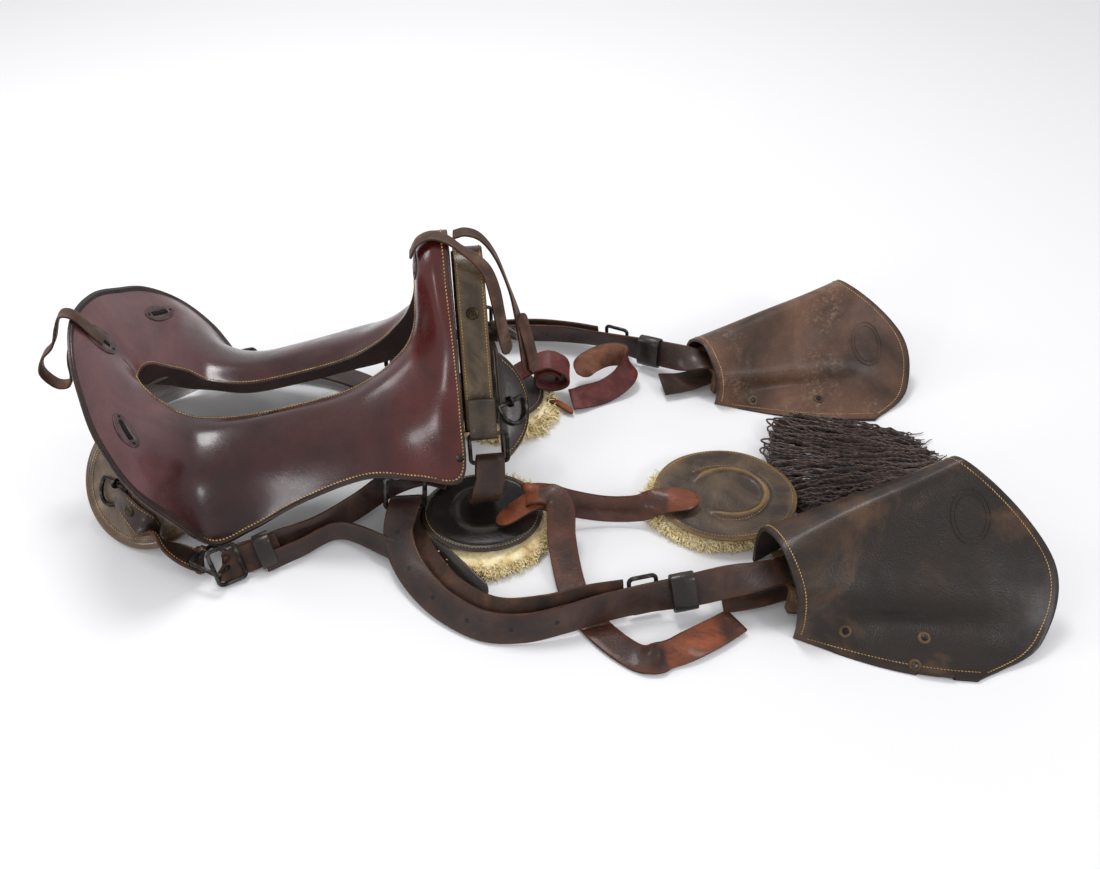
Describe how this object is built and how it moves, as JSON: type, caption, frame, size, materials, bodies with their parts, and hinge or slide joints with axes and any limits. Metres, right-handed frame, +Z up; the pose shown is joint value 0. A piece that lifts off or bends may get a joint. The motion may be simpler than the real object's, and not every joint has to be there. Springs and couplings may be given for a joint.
{
  "type": "riding saddle",
  "caption": "Open-slot military riding saddle with its quarter straps, ring safes, fleece pads, mohair girth, stirrup straps and hooded stirrups laid out beside it.",
  "frame": {"origin": "centre of the laid-out set in plan, at floor level", "axes": "+X along the laid-out set, from the cantle towards the stirrups; +Z up; near (left) side of the saddle at -Y"},
  "size_m": [1.0988, 0.6311, 0.3125],
  "materials": {
    "seat_leather": "oiled russet leather, glossy",
    "underside_leather": "dull brown leather",
    "skirt_leather": "worn olive-brown leather",
    "strap_leather": "oiled strap leather",
    "latigo_leather": "red-brown latigo leather",
    "hood_leather": "dull weathered leather",
    "black_leather": "black collar leather",
    "ash_wood": "bare bent ash",
    "iron": "japanned iron, rubbed",
    "fleece": "sheepskin pile",
    "mohair": "twisted mohair cord"
  },
  "bodies": {
    "saddle": {"seat_cover": "seat_leather", "underside_cover": "underside_leather", "pommel_arch": "ash_wood", "side_bar_near": "ash_wood", "cantle_arch": "ash_wood", "side_bar_far": "ash_wood", "rear_skirt_near": "skirt_leather", "front_skirt_near": "skirt_leather", "rear_skirt_far": "skirt_leather", "front_skirt_far": "skirt_leather", "cincha_safe": "skirt_leather", "pommel_facing": "black_leather", "ring_safe_near": "black_leather", "ring_safe_far": "black_leather", "cantle_plate_near": "iron", "cantle_plate_far": "iron", "cantle_plate_centre": "iron", "pommel_shield": "iron", "ring_staple_rear_near": "iron", "ring_staple_front_near": "iron", "ring_staple_rear_far": "iron", "ring_staple_front_far": "iron", "quarter_ring_front_near": "iron", "quarter_ring_rear_near": "iron", "quarter_ring_front_far": "iron", "quarter_ring_rear_far": "iron", "stirrup_loop_near": "iron", "stirrup_loop_far": "iron", "stirrup_buckle_near": "iron", "stirrup_buckle_far": "iron", "quarter_buckle_near": "iron", "pommel_strap": "strap_leather", "cantle_strap_near": "strap_leather", "cantle_strap_far": "strap_leather", "coat_strap_pommel": "strap_leather", "coat_strap_pommel_end": "strap_leather", "coat_strap_cantle": "strap_leather", "front_quarter_strap_near": "strap_leather", "front_quarter_strap_far": "strap_leather", "rear_quarter_strap_near": "strap_leather", "rear_quarter_strap_far": "strap_leather", "stirrup_strap_near": "strap_leather", "stirrup_strap_far": "strap_leather", "latigo_near": "latigo_leather", "latigo_far": "latigo_leather", "latigo_far_end": "latigo_leather", "safe_fleece_near": "fleece", "safe_fleece_far": "fleece", "cincha_fleece": "fleece", "cincha_strands": "mohair"},
    "stirrup_near_body": {"stirrup_near": "ash_wood", "hood_near": "hood_leather"},
    "stirrup_far_body": {"stirrup_far": "ash_wood", "hood_far": "hood_leather"},
    "ring_rear_near": {"saddle_ring_rear_near": "iron"},
    "ring_front_near": {"saddle_ring_front_near": "iron"},
    "ring_rear_far": {"saddle_ring_rear_far": "iron"},
    "ring_front_far": {"saddle_ring_front_far": "iron"},
    "tongue_near": {"stirrup_tongue_near": "iron"},
    "tongue_far": {"stirrup_tongue_far": "iron"}
  },
  "joints": [
    {"name": "stirrup_near_swing", "type": "hinge", "parent": "saddle", "child": "stirrup_near_body", "pos_m": [0.27755, -0.20425, 0.027], "axis": [0.2419, -0.9703, 0], "range_deg": [0, 40]},
    {"name": "stirrup_far_swing", "type": "hinge", "parent": "saddle", "child": "stirrup_far_body", "pos_m": [0.2386, 0.1605, 0.027], "axis": [0.342, -0.9397, 0], "range_deg": [0, 15]},
    {"name": "ring_rear_near_hinge", "type": "hinge", "parent": "saddle", "child": "ring_rear_near", "pos_m": [-0.47415, -0.09124, 0.05762], "axis": [-0.8732, 0.4681, 0.1357], "range_deg": [0, 90]},
    {"name": "ring_front_near_hinge", "type": "hinge", "parent": "saddle", "child": "ring_front_near", "pos_m": [-0.0237, -0.02933, 0.12735], "axis": [-0.8184, -0.5746, -0.0065], "range_deg": [0, 90]},
    {"name": "ring_rear_far_hinge", "type": "hinge", "parent": "saddle", "child": "ring_rear_far", "pos_m": [-0.49324, 0.0689, 0.05762], "axis": [0.7387, 0.6603, -0.1357], "range_deg": [0, 90]},
    {"name": "ring_front_far_hinge", "type": "hinge", "parent": "saddle", "child": "ring_front_far", "pos_m": [-0.04087, 0.11464, 0.12735], "axis": [0.9306, -0.3661, 0.0065], "range_deg": [0, 90]},
    {"name": "tongue_near_hinge", "type": "hinge", "parent": "saddle", "child": "tongue_near", "pos_m": [0.10515, -0.22844, 0.026], "axis": [-0.0877, 0.351, 0.9323], "range_deg": [0, 90]},
    {"name": "tongue_far_hinge", "type": "hinge", "parent": "saddle", "child": "tongue_far", "pos_m": [0.10002, 0.22736, 0.027], "axis": [-0.0656, -0.1457, 0.9872], "range_deg": [0, 90]}
  ]
}
